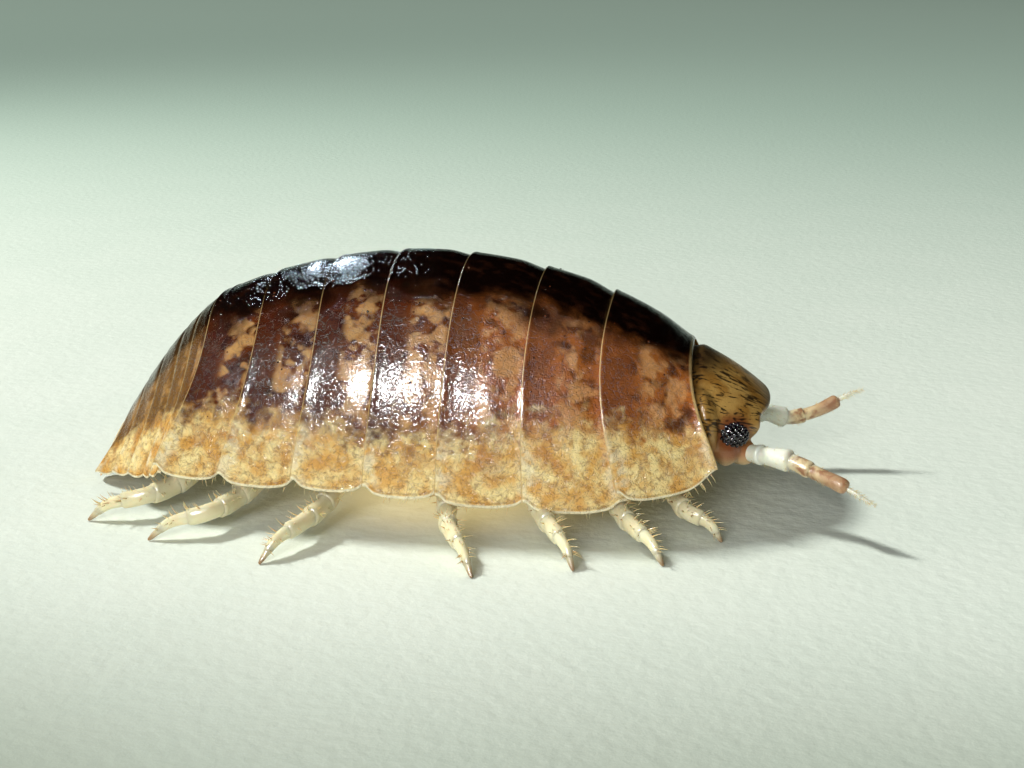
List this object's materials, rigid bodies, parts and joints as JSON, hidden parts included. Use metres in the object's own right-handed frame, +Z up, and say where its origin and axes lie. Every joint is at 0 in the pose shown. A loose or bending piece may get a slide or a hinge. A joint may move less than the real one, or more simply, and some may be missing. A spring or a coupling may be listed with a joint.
{
  "type": "pill woodlouse model",
  "caption": "Still life-size pill woodlouse standing on its legs, with domed overlapping shell plates, small head, black eyes and two bent feelers.",
  "frame": {"origin": "on the floor, under the middle of the animal from tail to feeler tips", "axes": "+X towards the head, +Y to the animal's left, +Z up"},
  "size_m": [0.0179, 0.0122, 0.0055],
  "materials": {
    "shell": "glossy brown shell with pale blotches",
    "tail": "satin olive-brown shell",
    "head": "satin tan shell with dark streaks",
    "eye": "glossy black facets",
    "feeler": "translucent cream to pinkish brown",
    "leg": "translucent cream"
  },
  "bodies": {
    "root": {"pereonite_1": "shell", "pereonite_2": "shell", "pereonite_3": "shell", "pereonite_4": "shell", "pereonite_5": "shell", "pereonite_6": "shell", "pereonite_7": "shell", "pleon": "tail", "telson": "tail", "head": "head", "eye_right": "eye", "antenna_right": "feeler", "uropod_right": "tail", "leg_right_1": "leg", "leg_right_2": "leg", "leg_right_3": "leg", "leg_right_4": "leg", "leg_right_5": "leg", "leg_right_6": "leg", "leg_right_7": "leg", "eye_left": "eye", "antenna_left": "feeler", "uropod_left": "tail", "leg_left_1": "leg", "leg_left_2": "leg", "leg_left_3": "leg", "leg_left_4": "leg", "leg_left_5": "leg", "leg_left_6": "leg", "leg_left_7": "leg"}
  },
  "joints": []
}
